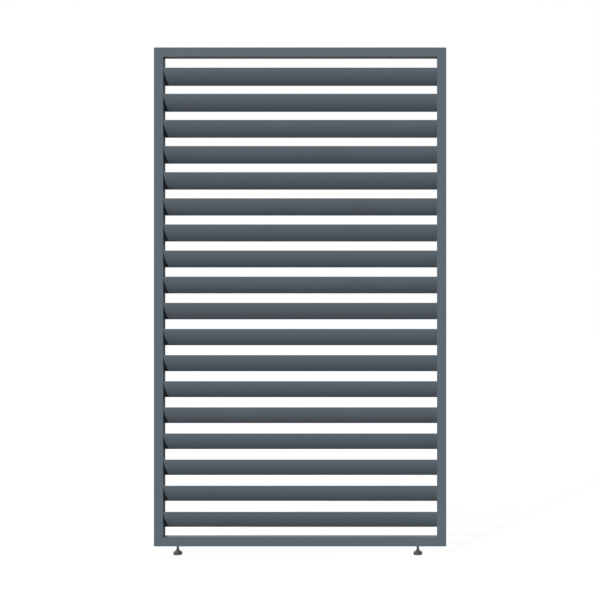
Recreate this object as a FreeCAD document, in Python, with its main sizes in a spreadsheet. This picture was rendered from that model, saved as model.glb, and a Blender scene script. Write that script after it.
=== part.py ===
import FreeCAD, Part
import math
import os
import types
import Sketcher

# A louvred screen panel for a pergola. A mitred frame of square tube holds hollow sloping blades by loose
# tenons in their ends, and two levelling feet screw into inserts in its bottom rail.
# Lengths are in millimetres and angles in degrees. X runs across the panel, Y from its front to its back
# and Z up. The origin lies on the ground under the middle of the frame.

dimensions = {
    # frame of square tube
    "panel_width": 1260,
    "panel_height": 2150,
    "tube_face": 40,
    "tube_depth": 40,
    "tube_wall": 2,
    "tube_edge_radius": 0.6,
    "mitre_gap": 0.15,
    # corner keys inside the mitred ends
    "key_reach": 60,
    "key_wall": 5,
    "key_clearance": 0.2,
    # louvre blades
    "blade_count": 18,
    "blade_chord": 80,
    "blade_thickness": 15,
    "blade_nose_radius": 1.5,
    "blade_wall": 1.4,
    "blade_web": 1.4,
    "web_offset": 13,
    "nose_depth": 9,
    "blade_tilt": 26.5,
    "top_gap": 46.4,
    "bottom_gap": 37,
    "blade_end_gap": 0.1,
    # loose tenons that join the blades to the stiles
    "tenon_grip": 30,
    "tenon_reach": 8,
    "tenon_clearance": 0.15,
    # holes through the stiles for the screws to the posts
    "fixing_gap": 2,
    "fixing_hole": 7,
    # levelling feet
    "foot_height": 38.5,
    "left_foot_inset": 98.5,
    "right_foot_inset": 123,
    "pad_diameter": 38,
    "pad_rim": 11.5,
    "pad_neck_diameter": 16,
    "pad_height": 18.5,
    "pad_floor": 3.5,
    "stem_diameter": 10,
    "stem_rise": 24,
    "stem_neck_diameter": 9,
    "swivel_clearance": 0.08,
    "hex_width": 13,
    "hex_height": 5.5,
    "hex_gap": 0.5,
    # threaded inserts in the bottom rail
    "insert_flange_diameter": 15,
    "insert_flange": 1.5,
    "insert_diameter": 13,
    "insert_length": 18,
    "insert_clearance": 0.1,
    "thread_clearance": 0.08,
    # how far cutting shapes stand past what they cut
    "cut_overrun": 5,
}

doc = FreeCAD.newDocument("louvred_pergola_panel")
sheet = doc.addObject("Spreadsheet::Sheet", "sizes")
for row, (alias, number) in enumerate(dimensions.items(), start=1):
    sheet.set(f"A{row}", alias)
    sheet.set(f"B{row}", str(number))
    sheet.setAlias(f"B{row}", alias)
doc.recompute()


class Size:
    # a value with the sheet formula that gives it, so that each sum is written once
    def __init__(self, value, formula):
        self.value = value
        self.formula = formula

    def __add__(self, other):
        return Size(self.value + value_of(other), f"({self.formula} + {formula_of(other)})")

    def __sub__(self, other):
        return Size(self.value - value_of(other), f"({self.formula} - {formula_of(other)})")

    def __mul__(self, other):
        return Size(self.value * value_of(other), f"({self.formula} * {formula_of(other)})")

    def __truediv__(self, other):
        return Size(self.value / value_of(other), f"({self.formula} / {formula_of(other)})")

    def __neg__(self):
        return self * -1

    __rmul__ = __mul__


def value_of(amount):
    return amount.value if isinstance(amount, Size) else amount


def formula_of(amount):
    return amount.formula if isinstance(amount, Size) else repr(amount)


def square_root(amount):
    return Size(math.sqrt(amount.value), f"sqrt({amount.formula})")


def cosine(angle):
    return Size(math.cos(math.radians(angle.value)), f"cos({angle.formula})")


size = types.SimpleNamespace(**{alias: Size(sheet.get(alias), f"sizes.{alias}") for alias in dimensions})


# Sketches and features

def bind(item, path, amount):
    item.setExpression(path, formula_of(amount))


def new_body(label, x=0, y=0, z=0, axis=(0, 0, 1), turn=0):
    body = doc.addObject("PartDesign::Body", label)
    body.Label = label
    rotation = FreeCAD.Rotation(FreeCAD.Vector(*axis), value_of(turn))
    body.Placement = FreeCAD.Placement(FreeCAD.Vector(value_of(x), value_of(y), value_of(z)), rotation)
    for path, amount in (("Base.x", x), ("Base.y", y), ("Base.z", z), ("Rotation.Angle", turn)):
        if isinstance(amount, Size):
            bind(body, f"Placement.{path}", amount)
    return body


def origin_feature(body, role):
    return next(item for item in body.Origin.OriginFeatures if item.Role == role)


def new_sketch(body, plane, name, x=0, y=0, lift=0, turn=0):
    sketch = body.newObject("Sketcher::SketchObject", f"{body.Name}_{name}")
    sketch.AttachmentSupport = [(origin_feature(body, plane), "")]
    sketch.MapMode = "FlatFace"
    rotation = FreeCAD.Rotation(FreeCAD.Vector(0, 0, 1), value_of(turn))
    base = FreeCAD.Vector(value_of(x), value_of(y), value_of(lift))
    sketch.AttachmentOffset = FreeCAD.Placement(base, rotation)
    for path, amount in (("Base.x", x), ("Base.y", y), ("Base.z", lift), ("Rotation.Angle", turn)):
        if isinstance(amount, Size):
            bind(sketch, f"AttachmentOffset.{path}", amount)
    return sketch


def constrain(sketch, rows):
    # each row is a constraint and the size that it is bound to, or None
    indices = sketch.addConstraint([constraint for constraint, amount in rows])
    for index, (constraint, amount) in zip(indices, rows):
        if amount is not None:
            bind(sketch, f"Constraints[{index}]", amount)


def point_rows(edge, end, x, y):
    # a point lies on an axis of the sketch, or at a bound distance from its origin
    rows = []
    for kind, axis, amount in (("DistanceX", -2, x), ("DistanceY", -1, y)):
        if isinstance(amount, Size):
            rows.append((Sketcher.Constraint(kind, -1, 1, edge, end, amount.value), amount))
        else:
            rows.append((Sketcher.Constraint("PointOnObject", edge, end, axis), None))
    return rows


def arc_between(start, stop, radius):
    # the shorter arc of this radius that runs counter-clockwise from start to stop
    chord = stop - start
    left = FreeCAD.Vector(-chord.y, chord.x, 0).normalize()
    centre = (start + stop) / 2 + left * math.sqrt(radius ** 2 - (chord.Length / 2) ** 2)
    circle = Part.Circle(centre, FreeCAD.Vector(0, 0, 1), radius)
    return Part.ArcOfCircle(circle, circle.parameter(start), circle.parameter(stop))


def draw_loop(sketch, corners):
    # each corner is (x, y) where a straight edge leaves it, or (x, y, radius) where an arc does
    points = [FreeCAD.Vector(value_of(corner[0]), value_of(corner[1]), 0) for corner in corners]
    curves = []
    for corner, start, stop in zip(corners, points, points[1:] + points[:1]):
        if len(corner) > 2:
            curves.append(arc_between(start, stop, corner[2].value))
        else:
            curves.append(Part.LineSegment(start, stop))
    edges = list(sketch.addGeometry(curves))
    rows = []
    for edge, after, corner in zip(edges, edges[1:] + edges[:1], corners):
        rows.append((Sketcher.Constraint("Coincident", edge, 2, after, 1), None))
        rows += point_rows(edge, 1, corner[0], corner[1])
        if len(corner) > 2:
            rows.append((Sketcher.Constraint("Radius", edge, corner[2].value), corner[2]))
    constrain(sketch, rows)


def draw_rectangle(sketch, left, low, right, high):
    draw_loop(sketch, [(left, low), (right, low), (right, high), (left, high)])


def draw_circle(sketch, x, y, diameter):
    centre = FreeCAD.Vector(value_of(x), value_of(y), 0)
    edge = sketch.addGeometry(Part.Circle(centre, FreeCAD.Vector(0, 0, 1), diameter.value / 2))
    rows = point_rows(edge, 3, x, y)
    constrain(sketch, rows + [(Sketcher.Constraint("Diameter", edge, diameter.value), diameter)])


def extrude(kind, body, sketch, length, symmetric, backwards):
    feature = body.newObject(f"PartDesign::{kind}", f"{sketch.Name}_{kind.lower()}")
    feature.Profile = sketch
    feature.SideType = "Symmetric" if symmetric else "One side"
    feature.Reversed = backwards
    if length is None:
        feature.Type = "ThroughAll"
    else:
        bind(feature, "Length", length)
    return feature


def add_pad(body, sketch, length, symmetric=False, backwards=False):
    return extrude("Pad", body, sketch, length, symmetric, backwards)


def add_pocket(body, sketch, length=None, symmetric=False, forwards=False):
    return extrude("Pocket", body, sketch, length, symmetric, forwards)


def revolve(body, sketch):
    feature = body.newObject("PartDesign::Revolution", f"{sketch.Name}_revolution")
    feature.Profile = sketch
    feature.ReferenceAxis = (sketch, ["V_Axis"])
    feature.Angle = 360


def add_row(body, axis, count, length, features=(), backwards=False):
    # copies of the named features, or of the whole shape where none are named
    doc.recompute()
    row = body.newObject("PartDesign::LinearPattern", f"{body.Name}_row")
    row.TransformMode = "Features" if features else "Whole shape"
    row.Originals = list(features)
    row.Direction = (origin_feature(body, axis), [""])
    row.Reversed = backwards
    bind(row, "Length", length)
    if isinstance(count, Size):
        bind(row, "Occurrences", count)
    else:
        row.Occurrences = count
    body.Tip = row


# Places that several pieces share

half_width = size.panel_width / 2
half_height = size.panel_height / 2
frame_middle = size.foot_height + half_height
opening_half_width = half_width - size.tube_face
corner_x = half_width - size.tube_face / 2
corner_z = half_height - size.tube_face / 2

nose_radius = size.blade_nose_radius
nose_centre = size.blade_chord / 2 - nose_radius
half_thickness = size.blade_thickness / 2
bow_radius = ((nose_centre * nose_centre + half_thickness * half_thickness - nose_radius * nose_radius)
              / (half_thickness - nose_radius) / 2)
bow_offset = bow_radius - half_thickness

blade_drop = nose_centre * cosine(size.blade_tilt) * 2 + nose_radius * 2
blade_pitch = ((size.panel_height - size.tube_face * 2 - size.top_gap - size.bottom_gap - blade_drop)
               / (size.blade_count - 1))
top_blade = half_height - size.tube_face - size.top_gap - blade_drop / 2
blade_row = blade_pitch * (size.blade_count - 1)
blade_half_length = opening_half_width - size.blade_end_gap
web_near = size.web_offset - size.blade_web / 2
web_far = size.web_offset + size.blade_web / 2

top_fixing = top_blade - blade_pitch * (size.fixing_gap - 0.5)
fixing_spacing = blade_pitch * (size.blade_count - size.fixing_gap * 2)

left_foot = size.left_foot_inset - half_width
right_foot = half_width - size.right_foot_inset


def bow_half(radius, height):
    # half the width of a blade out to a bow of this radius, at a height on its chord
    return square_root(radius * radius - height * height) - bow_offset


inner_radius = bow_radius - size.blade_wall
core_half = bow_half(inner_radius, web_near)


# Frame of four mitred tubes

def box_section(body):
    section = new_sketch(body, "XY_Plane", "section")
    wide, deep, round_edge = size.tube_face / 2, size.tube_depth / 2, size.tube_edge_radius
    draw_loop(section, [
        (wide - round_edge, -deep, round_edge), (wide, round_edge - deep),
        (wide, deep - round_edge, round_edge), (wide - round_edge, deep),
        (round_edge - wide, deep, round_edge), (-wide, deep - round_edge),
        (-wide, round_edge - deep, round_edge), (round_edge - wide, -deep)])
    hollow_wide, hollow_deep = wide - size.tube_wall, deep - size.tube_wall
    draw_rectangle(section, -hollow_wide, -hollow_deep, hollow_wide, hollow_deep)
    return section


def frame_tube(label, length, inner, x=0, z=0, turn=0):
    # the tube lies along its own Z, with the inside of the frame on its +X side, or on -X where inner is -1
    body = new_body(label, x=x, z=z, axis=(0, 1, 0), turn=turn)
    add_pad(body, box_section(body), length, symmetric=True)

    mitre = new_sketch(body, "XZ_Plane", "mitre")
    near = -(size.tube_face / 2 + size.cut_overrun) * inner
    tip = length / 2 + size.cut_overrun - size.mitre_gap * math.sqrt(0.5)
    heel = tip - size.tube_face - size.cut_overrun * 2
    for end in (1, -1):
        draw_loop(mitre, [(near, tip * end), (-near, heel * end), (-near, (tip + size.cut_overrun) * end)])
    add_pocket(body, mitre, size.tube_depth + size.cut_overrun * 2, symmetric=True)
    return body


def stile(label, inner):
    body = frame_tube(label, size.panel_height, inner, x=-corner_x * inner, z=frame_middle)

    # a slot for the tenon of each blade, through the wall that faces in
    slot = new_sketch(body, "YZ_Plane", "slot", y=top_blade, turn=size.blade_tilt)
    draw_rectangle(slot, -core_half, -web_near, core_half, web_near)
    cut = add_pocket(body, slot, forwards=inner > 0)
    add_row(body, "Z_Axis", size.blade_count, blade_row, [cut], backwards=True)

    # holes right through the tube for the screws to the post
    hole = new_sketch(body, "YZ_Plane", "fixing")
    draw_circle(hole, 0, top_fixing, size.fixing_hole)
    draw_circle(hole, 0, top_fixing - fixing_spacing, size.fixing_hole)
    body.Tip = add_pocket(body, hole, size.tube_face + size.cut_overrun * 2, symmetric=True)
    return body


def bottom_rail():
    body = frame_tube("bottom_rail", size.panel_width, 1, z=size.foot_height + size.tube_face / 2, turn=-90)
    hole = new_sketch(body, "YZ_Plane", "insert_hole")
    for foot in (left_foot, right_foot):
        draw_circle(hole, 0, -foot, size.insert_diameter + size.insert_clearance * 2)
    body.Tip = add_pocket(body, hole)
    return body


def top_rail():
    top = size.foot_height + size.panel_height - size.tube_face / 2
    return frame_tube("top_rail", size.panel_width, 1, z=top, turn=90)


# Corner keys, each an L of two hollow legs crimped inside the tubes

def corner_key(label, side, level, turn):
    # drawn for the top left corner, with one leg along +X and the other along -Z
    body = new_body(label, x=corner_x * side, z=frame_middle + corner_z * level, axis=(0, 1, 0), turn=turn)
    outer = size.tube_face / 2 - size.tube_wall - size.key_clearance
    inner = outer - size.key_wall
    end = size.key_reach - size.key_wall
    profile = new_sketch(body, "XZ_Plane", "profile")
    draw_loop(profile, [
        (-outer, -size.key_reach), (outer, -size.key_reach), (outer, -outer),
        (size.key_reach, -outer), (size.key_reach, outer), (-outer, outer)])
    draw_rectangle(profile, -inner, -inner, inner, inner)
    draw_rectangle(profile, outer, -inner, end, inner)
    draw_rectangle(profile, -inner, -end, inner, -outer)
    depth = size.tube_depth - (size.tube_wall + size.key_clearance) * 2
    add_pad(body, profile, depth, symmetric=True)
    return body


# Louvre blades, drawn upright with the chord along Z and tilted top edge forward

def louvre_blade(number):
    height = frame_middle + top_blade - blade_pitch * (number - 1)
    body = new_body(f"blade_{number:02d}", z=height, axis=(1, 0, 0), turn=size.blade_tilt)
    section = new_sketch(body, "YZ_Plane", "section")
    meet_x = bow_offset * nose_radius / (bow_radius - nose_radius)
    meet_z = nose_centre * bow_radius / (bow_radius - nose_radius)
    # each bow is drawn as three arcs that meet where the webs stand
    web_z = size.web_offset
    web_x = bow_half(bow_radius, web_z)
    draw_loop(section, [
        (-meet_x, meet_z, bow_radius), (-web_x, web_z, bow_radius), (-web_x, -web_z, bow_radius),
        (-meet_x, -meet_z, nose_radius),
        (meet_x, -meet_z, bow_radius), (web_x, -web_z, bow_radius), (web_x, web_z, bow_radius),
        (meet_x, meet_z, nose_radius)])
    # the middle chamber is a straight socket for the tenons
    draw_rectangle(section, -core_half, -web_near, core_half, web_near)
    chamber_end = size.blade_chord / 2 - size.nose_depth
    wide, narrow = bow_half(inner_radius, web_far), bow_half(inner_radius, chamber_end)
    draw_loop(section, [
        (-wide, web_far), (wide, web_far), (narrow, chamber_end), (-narrow, chamber_end)])
    draw_loop(section, [
        (wide, -web_far), (-wide, -web_far), (-narrow, -chamber_end), (narrow, -chamber_end)])
    add_pad(body, section, blade_half_length * 2, symmetric=True)
    return body


def blade_tenons(label, side):
    # one tenon at the top blade, repeated down the stile on this side
    body = new_body(label, x=opening_half_width * side, z=frame_middle + top_blade)
    section = new_sketch(body, "YZ_Plane", "section", lift=size.tenon_reach * side, turn=size.blade_tilt)
    across, along = core_half - size.tenon_clearance, web_near - size.tenon_clearance
    draw_rectangle(section, -across, -along, across, along)
    add_pad(body, section, size.tenon_reach + size.tenon_grip, backwards=side > 0)
    add_row(body, "Z_Axis", size.blade_count, blade_row, backwards=True)
    return body


# Levelling feet: an insert in the rail, a stem that screws into it, and a pad in which the stem turns

def foot_inserts():
    body = new_body("foot_inserts", x=left_foot, z=size.foot_height)
    profile = new_sketch(body, "XZ_Plane", "profile")
    bore = size.stem_diameter / 2 + size.thread_clearance
    flange, barrel = size.insert_flange_diameter / 2, size.insert_diameter / 2
    draw_loop(profile, [
        (bore, -size.insert_flange), (flange, -size.insert_flange), (flange, 0), (barrel, 0),
        (barrel, size.insert_length), (bore, size.insert_length)])
    revolve(body, profile)
    add_row(body, "X_Axis", 2, right_foot - left_foot)
    return body


def foot_stem(label, x):
    body = new_body(label, x=x)
    profile = new_sketch(body, "XZ_Plane", "profile")
    neck, thread = size.stem_neck_diameter / 2, size.stem_diameter / 2
    low = size.pad_floor + size.swivel_clearance
    hex_low = size.pad_height + size.hex_gap
    top = size.foot_height + size.stem_rise
    draw_loop(profile, [
        (0, low), (neck, low), (neck, hex_low), (thread, hex_low), (thread, top), (0, top)])
    revolve(body, profile)
    flats = new_sketch(body, "XY_Plane", "flats", lift=hex_low)
    flat, corner = size.hex_width / 2, size.hex_width / math.sqrt(3)
    draw_loop(flats, [
        (0, -corner), (flat, -corner / 2), (flat, corner / 2),
        (0, corner), (-flat, corner / 2), (-flat, -corner / 2)])
    add_pad(body, flats, size.hex_height)
    return body


def foot_pad(label, x):
    body = new_body(label, x=x)
    profile = new_sketch(body, "XZ_Plane", "profile")
    rim, neck = size.pad_diameter / 2, size.pad_neck_diameter / 2
    bore = size.stem_neck_diameter / 2 + size.swivel_clearance
    draw_loop(profile, [
        (0, 0), (rim, 0), (rim, size.pad_rim), (neck, size.pad_height),
        (bore, size.pad_height), (bore, size.pad_floor), (0, size.pad_floor)])
    revolve(body, profile)
    return body


parts = [
    stile("left_stile", 1),
    stile("right_stile", -1),
    top_rail(),
    bottom_rail(),
    corner_key("top_left_corner_key", -1, 1, 0),
    corner_key("top_right_corner_key", 1, 1, 90),
    corner_key("bottom_right_corner_key", 1, -1, 180),
    corner_key("bottom_left_corner_key", -1, -1, 270),
    *[louvre_blade(number) for number in range(1, dimensions["blade_count"] + 1)],
    blade_tenons("left_blade_tenons", -1),
    blade_tenons("right_blade_tenons", 1),
    foot_inserts(),
    foot_stem("left_foot_stem", left_foot),
    foot_stem("right_foot_stem", right_foot),
    foot_pad("left_foot_pad", left_foot),
    foot_pad("right_foot_pad", right_foot),
]

doc.recompute()
failed = [item.Name for item in doc.Objects if {"Invalid", "Error"} & set(item.State)]
failed += [part.Label for part in parts if part.Shape.isNull() or not part.Shape.isValid()]
if failed:
    raise RuntimeError(f"not built: {failed}")

os.makedirs("parts", exist_ok=True)
for part in parts:
    part.Shape.exportStep(f"parts/{part.Label}.step")
    print(f"{part.Label}: {len(part.Shape.Solids)} solids, {part.Shape.Volume / 1000:.1f} cm3")
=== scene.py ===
import math
import bmesh
import bpy
from mathutils import Matrix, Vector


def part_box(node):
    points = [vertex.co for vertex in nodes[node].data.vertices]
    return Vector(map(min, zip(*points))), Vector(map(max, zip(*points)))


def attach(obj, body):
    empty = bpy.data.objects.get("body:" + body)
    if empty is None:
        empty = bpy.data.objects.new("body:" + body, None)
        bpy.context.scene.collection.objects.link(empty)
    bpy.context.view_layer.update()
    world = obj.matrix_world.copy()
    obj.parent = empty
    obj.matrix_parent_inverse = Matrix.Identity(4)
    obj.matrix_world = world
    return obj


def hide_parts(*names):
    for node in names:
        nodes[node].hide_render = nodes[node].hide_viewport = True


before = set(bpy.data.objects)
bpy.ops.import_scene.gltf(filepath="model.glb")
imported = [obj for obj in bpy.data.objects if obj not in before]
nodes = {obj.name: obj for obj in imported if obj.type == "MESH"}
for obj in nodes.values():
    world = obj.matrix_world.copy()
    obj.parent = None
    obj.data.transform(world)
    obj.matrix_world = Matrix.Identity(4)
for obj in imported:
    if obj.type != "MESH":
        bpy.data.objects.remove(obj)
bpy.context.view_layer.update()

scene = bpy.context.scene
closeness = {"merge": 1e-6, "cut": 1e-7}  # points nearer than this count as one


# tools for working in edit mode

def deselectAll():
    if bpy.context.object and bpy.context.object.mode != "OBJECT":
        bpy.ops.object.mode_set(mode="OBJECT")
    bpy.ops.object.select_all(action="DESELECT")


def startOutline(name, point):  # one vertex, in edit mode, ready to be drawn out
    deselectAll()
    bpy.ops.mesh.primitive_plane_add()
    piece = bpy.context.object
    piece.name = name
    piece.data.name = name
    bpy.ops.object.mode_set(mode="EDIT")
    bpy.ops.mesh.merge(type="CENTER")
    bpy.ops.transform.translate(value=point)
    return piece


def drawLines(start, points):  # lines from one place to the next, in the XZ plane
    here = start
    for there in points:
        step = (there[0] - here[0], 0, there[1] - here[1])
        bpy.ops.mesh.extrude_region_move(TRANSFORM_OT_translate={"value": step})
        here = there


def drawArc(centre, angle, steps):  # spin turns against the right-hand rule here
    bpy.ops.mesh.spin(steps=steps, angle=-angle, center=centre, axis=(1, 0, 0))


def selectVertices(piece, wanted):
    shape = bmesh.from_edit_mesh(piece.data)
    for vertex in shape.verts:
        vertex.select = wanted(vertex.co)
    shape.select_flush(True)
    bmesh.update_edit_mesh(piece.data)


def mergeDoubles():
    bpy.ops.mesh.select_all(action="SELECT")
    bpy.ops.mesh.remove_doubles(threshold=closeness["merge"])


def closeShape(piece, sharpAngle):  # merged, facing outwards and smooth where it is round
    mergeDoubles()
    bpy.ops.mesh.normals_make_consistent(inside=False)
    bpy.ops.object.mode_set(mode="OBJECT")
    bpy.ops.object.shade_smooth_by_angle(angle=math.radians(sharpAngle))
    return piece


def turnOutline(piece, steps, sharpAngle):  # a full turn about the Z axis
    bpy.ops.mesh.select_all(action="SELECT")
    bpy.ops.mesh.spin(steps=steps, angle=math.tau, center=(0, 0, 0), axis=(0, 0, 1))
    return closeShape(piece, sharpAngle)


def placeCopy(template, name, matrix):  # a copy with its own mesh, its place kept in the mesh
    mesh = template.data.copy()
    mesh.name = name
    mesh.transform(matrix)
    piece = bpy.data.objects.new(name, mesh)
    scene.collection.objects.link(piece)
    return piece


def joinPieces(name, pieces):
    whole = pieces[0]
    deselectAll()
    for piece in pieces:
        piece.select_set(True)
    bpy.context.view_layer.objects.active = whole
    bpy.ops.object.join()
    whole.name = name
    whole.data.name = name
    return whole


def fusePieces(name, pieces, sharpAngle):  # one closed skin round all of them
    whole = pieces[0]
    whole.name = name
    whole.data.name = name
    deselectAll()
    whole.select_set(True)
    bpy.context.view_layer.objects.active = whole
    for piece in pieces[1:]:
        fuse = whole.modifiers.new("fuse", "BOOLEAN")
        fuse.operation = "UNION"
        fuse.object = piece
        bpy.ops.object.modifier_apply(modifier="fuse")
        bpy.data.objects.remove(piece)
    bpy.ops.object.shade_smooth_by_angle(angle=math.radians(sharpAngle))
    return whole


# shader groups and materials

def newGroup(name, inputs, outputs):
    group = bpy.data.node_groups.new(name, "ShaderNodeTree")
    for label, kind in inputs.items():
        group.interface.new_socket(label, in_out="INPUT", socket_type=kind)
    for label, kind in outputs.items():
        group.interface.new_socket(label, in_out="OUTPUT", socket_type=kind)
    entry = group.nodes.new("NodeGroupInput")
    leave = group.nodes.new("NodeGroupOutput")
    return group, entry.outputs, leave.inputs


def addNode(tree, kind, settings=None, values=None):
    node = tree.nodes.new(kind)
    for key, value in (settings or {}).items():
        setattr(node, key, value)
    for key, value in (values or {}).items():
        node.inputs[key].default_value = value
    return node


def feedSocket(tree, socket, value):  # a plain number is set, and anything else is linked
    if isinstance(value, (int, float)):
        socket.default_value = value
    else:
        tree.links.new(value, socket)


def addMath(tree, operation, first, second):
    node = addNode(tree, "ShaderNodeMath", {"operation": operation})
    feedSocket(tree, node.inputs[0], first)
    feedSocket(tree, node.inputs[1], second)
    return node.outputs[0]


def addNoise(tree, vector, scale, detail, roughness):
    noise = addNode(tree, "ShaderNodeTexNoise", values={"Detail": detail, "Roughness": roughness})
    tree.links.new(vector, noise.inputs["Vector"])
    feedSocket(tree, noise.inputs["Scale"], scale)
    return noise.outputs["Fac"]


def swingNoise(tree, noise):  # noise runs round a half, and this runs round zero
    return addMath(tree, "SUBTRACT", noise, 0.5)


def tintColour(tree, colour, amount):  # the colour made lighter or darker by an amount round 1
    node = addNode(tree, "ShaderNodeVectorMath", {"operation": "SCALE"})
    tree.links.new(colour, node.inputs[0])
    tree.links.new(amount, node.inputs["Scale"])
    return node.outputs[0]


# fine grain, a slow peel, cloudy shade and lengthwise draw lines, as coats and metals show them
surfaceNoise = {"grain": {"detail": 3.0, "roughness": 0.6}, "peel": {"detail": 1.0, "roughness": 0.4},
                "cloud": {"detail": 3.0, "roughness": 0.55}, "lines": {"detail": 2.0, "roughness": 0.5}}
surfaceMix = {"lineScale": (0.6, 420, 420), "peelScaleShare": 0.2, "peelHeightShare": 0.5, "speckShare": 2.5}


def makeSurfaceGroup():
    group, entry, leave = newGroup("surfaceGrain", {
        "Colour": "NodeSocketColor", "Grain Scale": "NodeSocketFloat", "Cloud Scale": "NodeSocketFloat",
        "Shade": "NodeSocketFloat", "Draw Lines": "NodeSocketFloat", "Roughness": "NodeSocketFloat",
        "Roughness Spread": "NodeSocketFloat"},
        {"Colour": "NodeSocketColor", "Roughness": "NodeSocketFloat", "Height": "NodeSocketFloat"})
    place = addNode(group, "ShaderNodeTexCoord").outputs["Object"]
    along = addNode(group, "ShaderNodeMapping", values={"Scale": surfaceMix["lineScale"]})
    group.links.new(place, along.inputs["Vector"])
    peelScale = addMath(group, "MULTIPLY", entry["Grain Scale"], surfaceMix["peelScaleShare"])
    grain = addNoise(group, place, entry["Grain Scale"], **surfaceNoise["grain"])
    peel = addNoise(group, place, peelScale, **surfaceNoise["peel"])
    cloud = addNoise(group, place, entry["Cloud Scale"], **surfaceNoise["cloud"])
    lines = addNoise(group, along.outputs[0], 1.0, **surfaceNoise["lines"])
    speckSwing = swingNoise(group, grain)
    cloudSwing = swingNoise(group, cloud)

    lineShade = addMath(group, "MULTIPLY", swingNoise(group, lines), entry["Draw Lines"])
    cloudShade = addMath(group, "MULTIPLY", cloudSwing, entry["Shade"])
    speckAmount = addMath(group, "MULTIPLY", entry["Shade"], surfaceMix["speckShare"])
    speckShade = addMath(group, "MULTIPLY", speckSwing, speckAmount)
    patches = addMath(group, "ADD", cloudShade, speckShade)
    shade = addMath(group, "ADD", patches, addMath(group, "ADD", lineShade, 1.0))
    group.links.new(tintColour(group, entry["Colour"], shade), leave["Colour"])

    swing = addMath(group, "ADD", speckSwing, cloudSwing)
    spread = addMath(group, "MULTIPLY", swing, entry["Roughness Spread"])
    group.links.new(addMath(group, "ADD", entry["Roughness"], spread), leave["Roughness"])

    peelHeight = addMath(group, "MULTIPLY", peel, surfaceMix["peelHeightShare"])
    lineHeight = addMath(group, "MULTIPLY", lines, entry["Draw Lines"])
    bumps = addMath(group, "ADD", grain, peelHeight)
    group.links.new(addMath(group, "ADD", bumps, lineHeight), leave["Height"])
    return group


surfaceGroup = makeSurfaceGroup()

powderCoat = {"grain": 1300, "cloud": 3.0, "shade": 0.16, "roughness": 0.66, "spread": 0.16, "metallic": 0.0,
              "specular": 0.14, "bump": 0.9, "bumpDepth": 0.0002}
finishes = {
    "frameCoat": {**powderCoat, "colour": (0.100, 0.125, 0.149), "drawLines": 0.0},
    "bladeCoat": {**powderCoat, "colour": (0.109, 0.134, 0.157), "drawLines": 0.05},
    "millAluminium": {"colour": (0.62, 0.63, 0.64), "grain": 1400, "cloud": 20, "shade": 0.12,
                      "drawLines": 0.25, "roughness": 0.38, "spread": 0.2, "metallic": 1.0, "specular": 0.5,
                      "bump": 0.08, "bumpDepth": 0.00005},
    "zincSteel": {"colour": (0.60, 0.60, 0.58), "grain": 2600, "cloud": 160, "shade": 0.22,
                  "drawLines": 0.0, "roughness": 0.34, "spread": 0.25, "metallic": 1.0, "specular": 0.5,
                  "bump": 0.12, "bumpDepth": 0.00004},
    "darkSteel": {"colour": (0.100, 0.110, 0.126), "grain": 2600, "cloud": 160, "shade": 0.22,
                  "drawLines": 0.0, "roughness": 0.45, "spread": 0.22, "metallic": 0.0, "specular": 0.4,
                  "bump": 0.12, "bumpDepth": 0.00004},
    "greyNylon": {"colour": (0.068, 0.073, 0.081), "grain": 2200, "cloud": 60, "shade": 0.20,
                  "drawLines": 0.0, "roughness": 0.58, "spread": 0.2, "metallic": 0.0, "specular": 0.3,
                  "bump": 0.18, "bumpDepth": 0.00008},
    "blackNylon": {"colour": (0.03, 0.03, 0.032), "grain": 2200, "cloud": 60, "shade": 0.25,
                   "drawLines": 0.0, "roughness": 0.55, "spread": 0.2, "metallic": 0.0, "specular": 0.4,
                   "bump": 0.18, "bumpDepth": 0.00008},
}


def makeFinish(name, finish):
    material = bpy.data.materials.new(name)
    material.use_nodes = True
    tree = material.node_tree
    shader = next(node for node in tree.nodes if node.type == "BSDF_PRINCIPLED")
    shader.inputs["Metallic"].default_value = finish["metallic"]
    shader.inputs["Specular IOR Level"].default_value = finish["specular"]
    grain = addNode(tree, "ShaderNodeGroup", {"node_tree": surfaceGroup}, {
        "Colour": (*finish["colour"], 1), "Grain Scale": finish["grain"], "Cloud Scale": finish["cloud"],
        "Shade": finish["shade"], "Draw Lines": finish["drawLines"], "Roughness": finish["roughness"],
        "Roughness Spread": finish["spread"]})
    bump = addNode(tree, "ShaderNodeBump", values={
        "Strength": finish["bump"], "Distance": finish["bumpDepth"]})
    tree.links.new(grain.outputs["Colour"], shader.inputs["Base Color"])
    tree.links.new(grain.outputs["Roughness"], shader.inputs["Roughness"])
    tree.links.new(grain.outputs["Height"], bump.inputs["Height"])
    tree.links.new(bump.outputs["Normal"], shader.inputs["Normal"])
    return material


materials = {name: makeFinish(name, finish) for name, finish in finishes.items()}
nodeFinishes = {"tenons": "blackNylon", "blade": "bladeCoat", "stile": "frameCoat", "rail": "frameCoat",
                "corner_key": "millAluminium", "inserts": "zincSteel", "stem": "darkSteel",
                "pad": "greyNylon"}


def dress(piece, finish):
    piece.data.materials.clear()
    piece.data.materials.append(materials[finish])


for name, node in nodes.items():  # a node wears the first finish whose word is in its name
    nodeFinish = next(finish for word, finish in nodeFinishes.items() if word in name)
    for slot in node.material_slots:
        slot.material = materials[nodeFinish]
print("finishes made")


# louvre blades: one hollow bowed extrusion, copied to each place

louvre = {"chord": 0.080, "thickness": 0.015, "noseRadius": 0.0015, "wall": 0.0014, "web": 0.0014,
          "webOffset": 0.013, "noseDepth": 0.009, "tilt": 26.5, "bowSteps": 24, "noseSteps": 12,
          "sharpAngle": 25}


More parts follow.
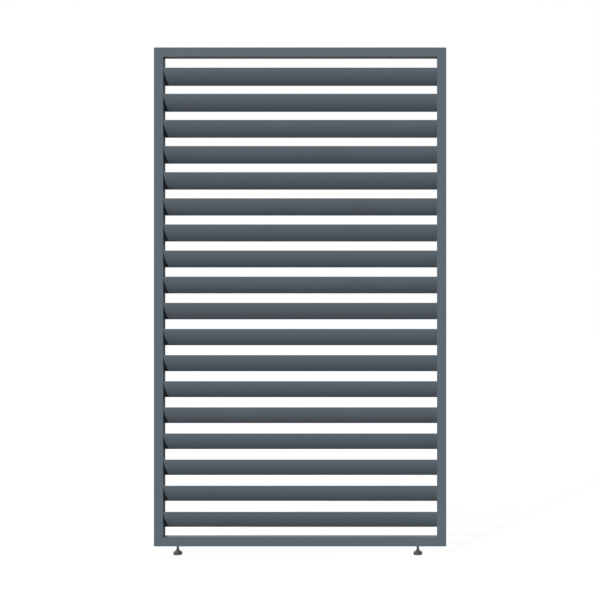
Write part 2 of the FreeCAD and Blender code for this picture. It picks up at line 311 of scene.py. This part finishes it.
def addChamber(piece, x, low, high, lowHalf, highHalf):  # a hole in the blade's end, narrower one way
    middle = (x, 0, (low + high) / 2)
    bpy.ops.mesh.primitive_plane_add(size=1, location=middle, rotation=(0, math.pi / 2, 0))
    bpy.ops.transform.resize(value=(1, lowHalf * 2, high - low), center_override=middle)
    bpy.ops.mesh.delete(type="ONLY_FACE")
    if highHalf != lowHalf:
        near = closeness["merge"]
        selectVertices(piece, lambda co: abs(co.z - high) < near and abs(co.y) < lowHalf + near)
        bpy.ops.transform.resize(value=(1, highHalf / lowHalf, 1), center_override=(x, 0, high))


def modelBlade(length):
    nose, half = louvre["noseRadius"], louvre["thickness"] / 2
    noseCentre = louvre["chord"] / 2 - nose
    bowRadius = (noseCentre ** 2 + half ** 2 - nose ** 2) / (half - nose) / 2
    bowOffset = bowRadius - half
    halfBow = math.atan2(noseCentre, bowOffset)
    noseTurn = math.pi - halfBow * 2
    x = -length / 2
    top = (x, -nose * math.cos(halfBow), noseCentre + nose * math.sin(halfBow))
    blade = startOutline("bladeShape", top)
    drawArc((x, bowOffset, 0), halfBow * 2, louvre["bowSteps"])
    drawArc((x, 0, -noseCentre), noseTurn, louvre["noseSteps"])
    drawArc((x, -bowOffset, 0), halfBow * 2, louvre["bowSteps"])
    drawArc((x, 0, noseCentre), noseTurn, louvre["noseSteps"])
    mergeDoubles()

    def innerHalf(height):  # half the hollow's width at a height along the chord
        return math.sqrt((bowRadius - louvre["wall"]) ** 2 - height ** 2) - bowOffset

    webNear = louvre["webOffset"] - louvre["web"] / 2
    webFar = louvre["webOffset"] + louvre["web"] / 2
    chamberEnd = louvre["chord"] / 2 - louvre["noseDepth"]
    addChamber(blade, x, -webNear, webNear, innerHalf(webNear), innerHalf(webNear))
    addChamber(blade, x, webFar, chamberEnd, innerHalf(webFar), innerHalf(chamberEnd))
    addChamber(blade, x, -chamberEnd, -webFar, innerHalf(chamberEnd), innerHalf(webFar))
    bpy.ops.mesh.select_all(action="SELECT")
    bpy.ops.mesh.fill(use_beauty=True)
    bpy.ops.mesh.select_all(action="SELECT")
    bpy.ops.mesh.extrude_region_move(TRANSFORM_OT_translate={"value": (length, 0, 0)})
    return closeShape(blade, louvre["sharpAngle"])


bladeNodes = sorted(name for name in nodes if name.startswith("blade_"))
low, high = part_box(bladeNodes[0])
bladeShape = modelBlade(high.x - low.x)
bladeTurn = Matrix.Rotation(math.radians(louvre["tilt"]), 4, "X")
for node in bladeNodes:
    low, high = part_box(node)
    place = Matrix.Translation((low + high) / 2) @ bladeTurn
    blade = placeCopy(bladeShape, node.replace("blade", "louvreBlade"), place)
    dress(blade, "bladeCoat")
    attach(blade, "panel_frame")
    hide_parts(node)
bpy.data.objects.remove(bladeShape)
print("blades modelled")


# levelling feet: a flared base, a threaded stem and an insert for the stem in the rail

pad = {"rim": 0.019, "rimHeight": 0.0115, "edge": 0.001, "edgeShare": 0.3, "neck": 0.008, "height": 0.0185,
       "bore": 0.00458, "boreEdge": 0.0004, "floor": 0.0035, "hollowShare": 0.35, "flareSteps": 12,
       "turnSteps": 72, "sharpAngle": 30}


def modelPad():
    rim, shoulder, neck, top = pad["rim"], pad["rimHeight"], pad["neck"], pad["height"]
    bore, boreEdge, edge = pad["bore"], pad["boreEdge"], pad["edge"]
    corner = edge * pad["edgeShare"]  # how far the middle of a rounded edge lies inside the sharp one
    flare = rim - edge - neck
    points = [(rim - edge, 0), (rim - corner, corner), (rim, edge)]
    points += [(rim, shoulder - edge), (rim - corner, shoulder - corner)]
    for step in range(pad["flareSteps"] + 1):  # between a straight cone and a hollow quarter round
        share = step / pad["flareSteps"]
        cone = rim - edge - flare * share
        scoop = rim - edge - flare * math.sqrt(1 - (1 - share) ** 2)
        points.append((cone + (scoop - cone) * pad["hollowShare"], shoulder + (top - shoulder) * share))
    points += [(bore + boreEdge, top), (bore, top - boreEdge), (bore, pad["floor"]), (0, pad["floor"])]
    piece = startOutline("padShape", (0, 0, 0))
    drawLines((0, 0), points)
    return turnOutline(piece, pad["turnSteps"], pad["sharpAngle"])


# the thread is turned too long, and then cut off flat inside the hexagon and at the stem's top
stem = {"neck": 0.0045, "low": 0.00358, "edge": 0.0004, "hexLow": 0.019, "hexHeight": 0.0055,
        "hexWidth": 0.013, "hexEdgeSteps": 3, "major": 0.00495, "minor": 0.00408, "pitch": 0.0015,
        "flankShares": (0.13, 0.44, 0.56, 0.87), "leadTurns": 3, "spareTurns": 2, "top": 0.0625,
        "bury": 0.001, "turnSteps": 40, "sharpAngle": 25}


def modelThread():
    pitch, major, minor = stem["pitch"], stem["major"], stem["minor"]
    hexTop = stem["hexLow"] + stem["hexHeight"]
    start = hexTop - pitch * stem["leadTurns"]
    turns = math.ceil((stem["top"] - start) / pitch) + stem["spareTurns"]
    radii = (minor, major, major, minor)
    flanks = [(radius, start + pitch * share) for radius, share in zip(radii, stem["flankShares"])]
    piece = startOutline("threadShape", (minor, 0, start))
    drawLines((minor, start), [*flanks, (minor, start + pitch)])
    bpy.ops.object.mode_set(mode="OBJECT")
    helix = piece.modifiers.new("helix", "SCREW")
    helix.axis = "Z"
    helix.angle = math.tau
    helix.screw_offset = pitch
    helix.iterations = turns
    helix.steps = stem["turnSteps"]
    helix.render_steps = stem["turnSteps"]
    helix.use_merge_vertices = True
    bpy.ops.object.modifier_apply(modifier="helix")
    bpy.ops.object.mode_set(mode="EDIT")
    for height, way in ((hexTop - stem["bury"], -1), (stem["top"], 1)):
        bpy.ops.mesh.select_all(action="SELECT")
        bpy.ops.mesh.bisect(plane_co=(0, 0, height), plane_no=(0, 0, way), use_fill=True, clear_outer=True,
                            threshold=closeness["cut"])
    return closeShape(piece, stem["sharpAngle"])


def modelHex():
    deselectAll()
    middle = (0, 0, stem["hexLow"] + stem["hexHeight"] / 2)
    bpy.ops.mesh.primitive_cylinder_add(vertices=6, radius=stem["hexWidth"] / math.sqrt(3),
                                        depth=stem["hexHeight"], location=middle,
                                        rotation=(0, 0, math.pi / 6))
    bpy.ops.object.transform_apply(location=True, rotation=True)
    piece = bpy.context.object
    bevel = piece.modifiers.new("edges", "BEVEL")
    bevel.width = stem["edge"]
    bevel.segments = stem["hexEdgeSteps"]
    bpy.ops.object.modifier_apply(modifier="edges")
    bpy.ops.object.mode_set(mode="EDIT")
    return closeShape(piece, stem["sharpAngle"])


def modelNeck():
    radius, low, edge = stem["neck"], stem["low"], stem["edge"]
    inside = stem["hexLow"] + stem["bury"]
    piece = startOutline("neckShape", (0, 0, low))
    drawLines((0, low), [(radius - edge, low), (radius, low + edge), (radius, inside), (0, inside)])
    return turnOutline(piece, stem["turnSteps"], stem["sharpAngle"])


insert = {"bore": 0.00508, "mouth": 0.0006, "flange": 0.0075, "flangeHeight": 0.0015, "barrel": 0.0065,
          "length": 0.018, "edge": 0.0003, "turnSteps": 56, "sharpAngle": 30}


def modelInsert(seat):  # seat is the underside of the rail
    flange, barrel, bore = insert["flange"], insert["barrel"], insert["bore"]
    edge, mouth = insert["edge"], insert["mouth"]
    low, top = seat - insert["flangeHeight"], seat + insert["length"]
    start = (bore + mouth, low)
    piece = startOutline("insertShape", (bore + mouth, 0, low))
    drawLines(start, [(flange - edge, low), (flange, low + edge), (flange, seat), (barrel, seat),
                      (barrel, top), (bore, top), (bore, low + mouth), start])
    return turnOutline(piece, insert["turnSteps"], insert["sharpAngle"])


padShape = modelPad()
stemShape = fusePieces("stemShape", [modelNeck(), modelHex(), modelThread()], stem["sharpAngle"])
insertShape = modelInsert(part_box("bottom_rail")[0].z)
inserts = []
for side in ("left", "right"):
    low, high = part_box(f"{side}_foot_pad")
    place = Matrix.Translation(((low.x + high.x) / 2, 0, 0))
    base = placeCopy(padShape, f"{side}FootPad", place)
    dress(base, "greyNylon")
    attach(base, f"{side}_pad")
    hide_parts(f"{side}_foot_pad")
    screw = placeCopy(stemShape, f"{side}FootStem", place)
    dress(screw, "darkSteel")
    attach(screw, f"{side}_stem")
    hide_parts(f"{side}_foot_stem")
    inserts.append(placeCopy(insertShape, f"{side}Insert", place))
footInserts = joinPieces("footInserts", inserts)
dress(footInserts, "zincSteel")
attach(footInserts, "panel_frame")
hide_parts("foot_inserts")
for shape in (padShape, stemShape, insertShape):
    bpy.data.objects.remove(shape)
print("feet modelled")


# floor, light and camera

studio = {"floorSize": 60, "floorShade": 0.16, "floorBounce": 0.11, "floorGlow": 0.87, "front": 0.06,
          "rear": 0.9}
lamps = {"keyLight": {"strength": 3.75, "softness": 2, "side": -27, "height": 30},
         "backLight": {"strength": 1.4, "softness": 8, "side": -150, "height": 38},
         "fillLight": {"strength": 0.9, "softness": 12, "side": 95, "height": 25}}
view = {"lens": 64.07, "sensor": 36, "distance": 4.6, "side": 0.551, "height": 1.0693, "shiftX": -0.2133,
        "shiftY": 0.012, "farthest": 200}


def seenRays(tree):  # the rays that show the backdrop: camera rays, and those that metal or glass sends on
    rays = addNode(tree, "ShaderNodeLightPath").outputs
    clear = addMath(tree, "MAXIMUM", rays["Is Camera Ray"], rays["Is Transmission Ray"])
    return addMath(tree, "MAXIMUM", clear, rays["Is Glossy Ray"])


def litFloor():  # white to the camera, with a shadow on it, and dark to the panel
    deselectAll()
    bpy.ops.mesh.primitive_plane_add(size=studio["floorSize"])
    floor = bpy.context.object
    floor.name = "floor"
    material = bpy.data.materials.new("paleFloor")
    material.use_nodes = True
    tree = material.node_tree
    tree.nodes.clear()
    shown = seenRays(tree)
    grey = addMath(tree, "MULTIPLY", shown, studio["floorShade"] - studio["floorBounce"])
    matt = addNode(tree, "ShaderNodeBsdfDiffuse")
    tree.links.new(addMath(tree, "ADD", grey, studio["floorBounce"]), matt.inputs["Color"])
    glow = addNode(tree, "ShaderNodeEmission")
    tree.links.new(addMath(tree, "MULTIPLY", shown, studio["floorGlow"]), glow.inputs["Strength"])
    both = addNode(tree, "ShaderNodeAddShader")
    tree.links.new(matt.outputs[0], both.inputs[0])
    tree.links.new(glow.outputs[0], both.inputs[1])
    leave = addNode(tree, "ShaderNodeOutputMaterial")
    tree.links.new(both.outputs[0], leave.inputs["Surface"])
    floor.data.materials.append(material)


def lightWorld():  # a dim room in front of the panel and a bright backdrop behind it
    world = bpy.data.worlds.new("studioWorld")
    scene.world = world
    world.use_nodes = True
    tree = world.node_tree
    tree.nodes.clear()
    shown = seenRays(tree)
    place = addNode(tree, "ShaderNodeTexCoord")
    split = addNode(tree, "ShaderNodeSeparateXYZ")
    tree.links.new(place.outputs["Generated"], split.inputs[0])
    behind = addMath(tree, "MAXIMUM", split.outputs["Y"], 0.0)
    rise = addMath(tree, "MULTIPLY", behind, studio["rear"] - studio["front"])
    light = addMath(tree, "ADD", rise, studio["front"])
    hidden = addMath(tree, "SUBTRACT", 1.0, shown)
    strength = addMath(tree, "ADD", addMath(tree, "MULTIPLY", light, hidden), shown)
    sky = addNode(tree, "ShaderNodeBackground", values={"Color": (1, 1, 1, 1)})
    tree.links.new(strength, sky.inputs["Strength"])
    leave = addNode(tree, "ShaderNodeOutputWorld")
    tree.links.new(sky.outputs[0], leave.inputs["Surface"])


def addSun(name, lamp):  # its side is measured round from the panel's front, and its height from the floor
    light = bpy.data.lights.new(name, "SUN")
    light.energy = lamp["strength"]
    light.angle = math.radians(lamp["softness"])
    sun = bpy.data.objects.new(name, light)
    sun.rotation_euler = (math.radians(90 - lamp["height"]), 0, math.radians(lamp["side"]))
    scene.collection.objects.link(sun)


def addCamera():  # level and square to the panel, with the panel shifted into the middle of the picture
    lens = bpy.data.cameras.new("photoCamera")
    lens.lens = view["lens"]
    lens.sensor_width = view["sensor"]
    lens.shift_x = view["shiftX"]
    lens.shift_y = view["shiftY"]
    lens.clip_end = view["farthest"]
    camera = bpy.data.objects.new("photoCamera", lens)
    camera.location = (view["side"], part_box("top_rail")[0].y - view["distance"], view["height"])
    camera.rotation_euler = (math.pi / 2, 0, 0)
    scene.collection.objects.link(camera)
    scene.camera = camera


litFloor()
lightWorld()
for name, lamp in lamps.items():
    addSun(name, lamp)
addCamera()
scene.view_settings.view_transform = "Standard"
print("studio set")
